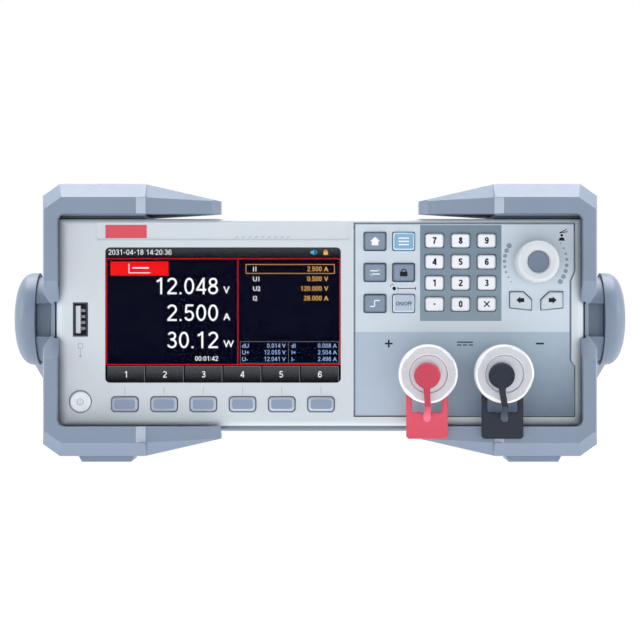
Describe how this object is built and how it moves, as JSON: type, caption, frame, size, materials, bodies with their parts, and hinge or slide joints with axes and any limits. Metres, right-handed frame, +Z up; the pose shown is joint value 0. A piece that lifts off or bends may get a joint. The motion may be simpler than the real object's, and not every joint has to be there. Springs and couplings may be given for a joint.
{
  "type": "dc electronic load",
  "caption": "Bench DC electronic load with a colour display, softkeys, keypad, push knob, clamp input posts with tethered caps, corner bumpers, rear fan and a swing handle",
  "frame": {"origin": "on the table under the middle of the whole object", "axes": "+X to the right as seen from the front, +Y to the rear, +Z up; the front faces -Y"},
  "size_m": [0.2536, 0.3704, 0.1123],
  "materials": {
    "sheet_metal": "zinc-plated sheet, satin",
    "painted_cover": "fine textured paint, pale grey",
    "bezel_plastic": "satin moulded plastic, pale blue-grey",
    "panel_plastic": "satin moulded plastic, blue-grey",
    "screen_glass": "clear hard-coated window",
    "module_metal": "plain plated sheet",
    "circuit_board": "green solder mask",
    "heat_sink_metal": "extruded, plain",
    "transformer_core": "varnished laminations and winding",
    "black_plastic": "moulded, matt",
    "red_pvc": "soft moulded, satin",
    "black_pvc": "soft moulded, satin",
    "bumper_rubber": "fine grained elastomer, blue-grey",
    "handle_plastic": "fine grained plastic, blue-grey",
    "nut_plastic": "smooth moulded, off-white",
    "washer_brass": "plain turned",
    "shaft_steel": "ground",
    "knob_plastic": "satin moulded, off-white",
    "softkey_plastic": "satin silicone, blue",
    "function_key_plastic": "satin silicone, slate blue",
    "keypad_plastic": "satin silicone, white"
  },
  "bodies": {
    "chassis": {"bottom_chassis": "sheet_metal", "top_cover": "painted_cover", "rear_panel": "sheet_metal", "front_bezel": "bezel_plastic", "control_panel": "panel_plastic", "display_window": "screen_glass", "lcd_module": "module_metal", "front_board": "circuit_board", "main_board": "circuit_board", "heat_sink": "heat_sink_metal", "mains_transformer": "transformer_core", "fan_frame": "black_plastic", "rear_connectors": "black_plastic", "usb_socket": "module_metal", "positive_post": "nut_plastic", "negative_post": "nut_plastic", "positive_fork": "red_pvc", "negative_fork": "black_pvc", "front_left_bumper": "bumper_rubber", "front_right_bumper": "bumper_rubber", "rear_bumpers": "bumper_rubber", "pivot_bosses": "handle_plastic", "knob_encoder": "black_plastic"},
    "softkey_1": {"softkey_1": "softkey_plastic"},
    "softkey_2": {"softkey_2": "softkey_plastic"},
    "softkey_3": {"softkey_3": "softkey_plastic"},
    "softkey_4": {"softkey_4": "softkey_plastic"},
    "softkey_5": {"softkey_5": "softkey_plastic"},
    "softkey_6": {"softkey_6": "softkey_plastic"},
    "home_key": {"home_key": "function_key_plastic"},
    "menu_key": {"menu_key": "function_key_plastic"},
    "mode_key": {"mode_key": "function_key_plastic"},
    "lock_key": {"lock_key": "function_key_plastic"},
    "trigger_key": {"trigger_key": "function_key_plastic"},
    "input_key": {"input_key": "function_key_plastic"},
    "key_7": {"key_7": "keypad_plastic"},
    "key_8": {"key_8": "keypad_plastic"},
    "key_9": {"key_9": "keypad_plastic"},
    "key_4": {"key_4": "keypad_plastic"},
    "key_5": {"key_5": "keypad_plastic"},
    "key_6": {"key_6": "keypad_plastic"},
    "key_1": {"key_1": "keypad_plastic"},
    "key_2": {"key_2": "keypad_plastic"},
    "key_3": {"key_3": "keypad_plastic"},
    "key_point": {"key_point": "keypad_plastic"},
    "key_0": {"key_0": "keypad_plastic"},
    "key_escape": {"key_escape": "keypad_plastic"},
    "arrow_left": {"arrow_left": "function_key_plastic"},
    "arrow_right": {"arrow_right": "function_key_plastic"},
    "power_button": {"power_button": "knob_plastic"},
    "encoder_shaft": {"encoder_shaft": "shaft_steel"},
    "knob": {"knob": "knob_plastic"},
    "fan_rotor": {"fan_rotor": "black_plastic"},
    "handle": {"handle": "handle_plastic"},
    "positive_washer": {"positive_washer": "washer_brass"},
    "positive_nut": {"positive_nut": "nut_plastic"},
    "positive_plug": {"positive_plug": "red_pvc"},
    "negative_washer": {"negative_washer": "washer_brass"},
    "negative_nut": {"negative_nut": "nut_plastic"},
    "negative_plug": {"negative_plug": "black_pvc"}
  },
  "joints": [
    {"name": "softkey_1_press", "type": "slide", "parent": "chassis", "child": "softkey_1", "axis": [0, 1, 0], "range_m": [0, 0.0008], "stiffness_N_per_m": 300},
    {"name": "softkey_2_press", "type": "slide", "parent": "chassis", "child": "softkey_2", "axis": [0, 1, 0], "range_m": [0, 0.0008], "stiffness_N_per_m": 300},
    {"name": "softkey_3_press", "type": "slide", "parent": "chassis", "child": "softkey_3", "axis": [0, 1, 0], "range_m": [0, 0.0008], "stiffness_N_per_m": 300},
    {"name": "softkey_4_press", "type": "slide", "parent": "chassis", "child": "softkey_4", "axis": [0, 1, 0], "range_m": [0, 0.0008], "stiffness_N_per_m": 300},
    {"name": "softkey_5_press", "type": "slide", "parent": "chassis", "child": "softkey_5", "axis": [0, 1, 0], "range_m": [0, 0.0008], "stiffness_N_per_m": 300},
    {"name": "softkey_6_press", "type": "slide", "parent": "chassis", "child": "softkey_6", "axis": [0, 1, 0], "range_m": [0, 0.0008], "stiffness_N_per_m": 300},
    {"name": "home_key_press", "type": "slide", "parent": "chassis", "child": "home_key", "axis": [0, 1, 0], "range_m": [0, 0.0008], "stiffness_N_per_m": 300},
    {"name": "menu_key_press", "type": "slide", "parent": "chassis", "child": "menu_key", "axis": [0, 1, 0], "range_m": [0, 0.0008], "stiffness_N_per_m": 300},
    {"name": "mode_key_press", "type": "slide", "parent": "chassis", "child": "mode_key", "axis": [0, 1, 0], "range_m": [0, 0.0008], "stiffness_N_per_m": 300},
    {"name": "lock_key_press", "type": "slide", "parent": "chassis", "child": "lock_key", "axis": [0, 1, 0], "range_m": [0, 0.0008], "stiffness_N_per_m": 300},
    {"name": "trigger_key_press", "type": "slide", "parent": "chassis", "child": "trigger_key", "axis": [0, 1, 0], "range_m": [0, 0.0008], "stiffness_N_per_m": 300},
    {"name": "input_key_press", "type": "slide", "parent": "chassis", "child": "input_key", "axis": [0, 1, 0], "range_m": [0, 0.0008], "stiffness_N_per_m": 300},
    {"name": "key_7_press", "type": "slide", "parent": "chassis", "child": "key_7", "axis": [0, 1, 0], "range_m": [0, 0.0008], "stiffness_N_per_m": 300},
    {"name": "key_8_press", "type": "slide", "parent": "chassis", "child": "key_8", "axis": [0, 1, 0], "range_m": [0, 0.0008], "stiffness_N_per_m": 300},
    {"name": "key_9_press", "type": "slide", "parent": "chassis", "child": "key_9", "axis": [0, 1, 0], "range_m": [0, 0.0008], "stiffness_N_per_m": 300},
    {"name": "key_4_press", "type": "slide", "parent": "chassis", "child": "key_4", "axis": [0, 1, 0], "range_m": [0, 0.0008], "stiffness_N_per_m": 300},
    {"name": "key_5_press", "type": "slide", "parent": "chassis", "child": "key_5", "axis": [0, 1, 0], "range_m": [0, 0.0008], "stiffness_N_per_m": 300},
    {"name": "key_6_press", "type": "slide", "parent": "chassis", "child": "key_6", "axis": [0, 1, 0], "range_m": [0, 0.0008], "stiffness_N_per_m": 300},
    {"name": "key_1_press", "type": "slide", "parent": "chassis", "child": "key_1", "axis": [0, 1, 0], "range_m": [0, 0.0008], "stiffness_N_per_m": 300},
    {"name": "key_2_press", "type": "slide", "parent": "chassis", "child": "key_2", "axis": [0, 1, 0], "range_m": [0, 0.0008], "stiffness_N_per_m": 300},
    {"name": "key_3_press", "type": "slide", "parent": "chassis", "child": "key_3", "axis": [0, 1, 0], "range_m": [0, 0.0008], "stiffness_N_per_m": 300},
    {"name": "key_point_press", "type": "slide", "parent": "chassis", "child": "key_point", "axis": [0, 1, 0], "range_m": [0, 0.0008], "stiffness_N_per_m": 300},
    {"name": "key_0_press", "type": "slide", "parent": "chassis", "child": "key_0", "axis": [0, 1, 0], "range_m": [0, 0.0008], "stiffness_N_per_m": 300},
    {"name": "key_escape_press", "type": "slide", "parent": "chassis", "child": "key_escape", "axis": [0, 1, 0], "range_m": [0, 0.0008], "stiffness_N_per_m": 300},
    {"name": "arrow_left_press", "type": "slide", "parent": "chassis", "child": "arrow_left", "axis": [0, 1, 0], "range_m": [0, 0.0008], "stiffness_N_per_m": 300},
    {"name": "arrow_right_press", "type": "slide", "parent": "chassis", "child": "arrow_right", "axis": [0, 1, 0], "range_m": [0, 0.0008], "stiffness_N_per_m": 300},
    {"name": "power_button_press", "type": "slide", "parent": "chassis", "child": "power_button", "axis": [0, 1, 0], "range_m": [0, 0.0008], "stiffness_N_per_m": 300},
    {"name": "knob_turn", "type": "hinge", "parent": "chassis", "child": "encoder_shaft", "pos_m": [0.0868, -0.16377, 0.0808], "axis": [0, -1, 0], "continuous": true},
    {"name": "knob_push", "type": "slide", "parent": "encoder_shaft", "child": "knob", "axis": [0, 1, 0], "range_m": [0, 0.0005], "stiffness_N_per_m": 600},
    {"name": "fan_spin", "type": "hinge", "parent": "chassis", "child": "fan_rotor", "pos_m": [0.052, 0.16123, 0.05575], "axis": [0, 1, 0], "continuous": true},
    {"name": "handle_swing", "type": "hinge", "parent": "chassis", "child": "handle", "pos_m": [0, -0.12677, 0.0579], "axis": [-1, 0, 0], "range_deg": [0, 327]},
    {"name": "positive_washer_travel", "type": "slide", "parent": "chassis", "child": "positive_washer", "axis": [0, -1, 0], "range_m": [0, 0.0025]},
    {"name": "positive_nut_turn", "type": "hinge", "parent": "positive_washer", "child": "positive_nut", "pos_m": [0.0426, -0.17477, 0.0363], "axis": [0, -1, 0], "range_deg": [0, 900]},
    {"name": "positive_plug_pull", "type": "slide", "parent": "chassis", "child": "positive_plug", "axis": [0, -1, 0], "range_m": [0, 0.011]},
    {"name": "negative_washer_travel", "type": "slide", "parent": "chassis", "child": "negative_washer", "axis": [0, -1, 0], "range_m": [0, 0.0025]},
    {"name": "negative_nut_turn", "type": "hinge", "parent": "negative_washer", "child": "negative_nut", "pos_m": [0.0726, -0.17477, 0.0363], "axis": [0, -1, 0], "range_deg": [0, 900]},
    {"name": "negative_plug_pull", "type": "slide", "parent": "chassis", "child": "negative_plug", "axis": [0, -1, 0], "range_m": [0, 0.011]}
  ],
  "couplings": [
    {"joint": "positive_washer_travel", "follows": "positive_nut_turn", "m_per_rad": 0.00015915},
    {"joint": "negative_washer_travel", "follows": "negative_nut_turn", "m_per_rad": 0.00015915}
  ]
}
